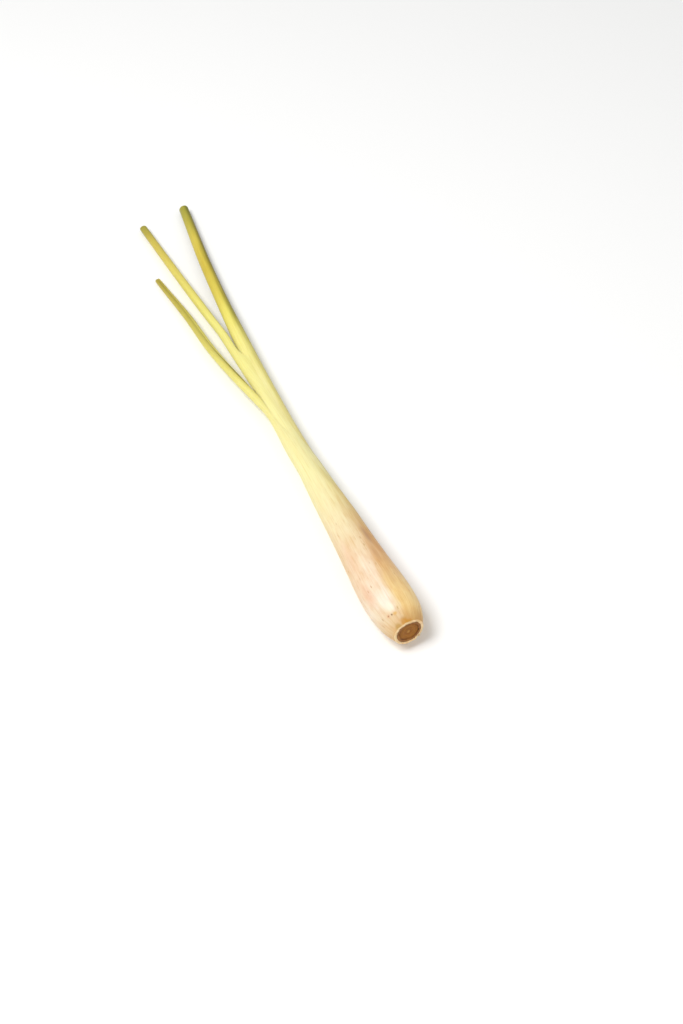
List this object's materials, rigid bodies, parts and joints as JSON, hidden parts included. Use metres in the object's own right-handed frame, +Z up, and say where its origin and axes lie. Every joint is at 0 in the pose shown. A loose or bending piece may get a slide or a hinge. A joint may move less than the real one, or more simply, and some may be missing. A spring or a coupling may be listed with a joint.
{
  "type": "lemongrass stalk",
  "caption": "Trimmed lemongrass stalk lying down: pale bulb with a cut base, a straight leaf roll and blades that peel off to one side.",
  "frame": {"origin": "middle of the footprint, on the surface that the stalk lies on", "axes": "+X along the stalk from its cut base to its top, +Y towards the side that the loose blades leave it on, +Z up"},
  "size_m": [0.281, 0.0372, 0.0202],
  "materials": {
    "cut_stem": "dry fibrous cut",
    "inner_leaf": "satin, finely ribbed leaf",
    "second_leaf": "satin, finely ribbed leaf",
    "outer_leaf": "waxy satin leaf sheath"
  },
  "bodies": {
    "root": {"basal_stem": "cut_stem", "inner_leaf_roll": "inner_leaf", "second_leaf": "second_leaf", "outer_leaf": "outer_leaf"}
  },
  "joints": []
}
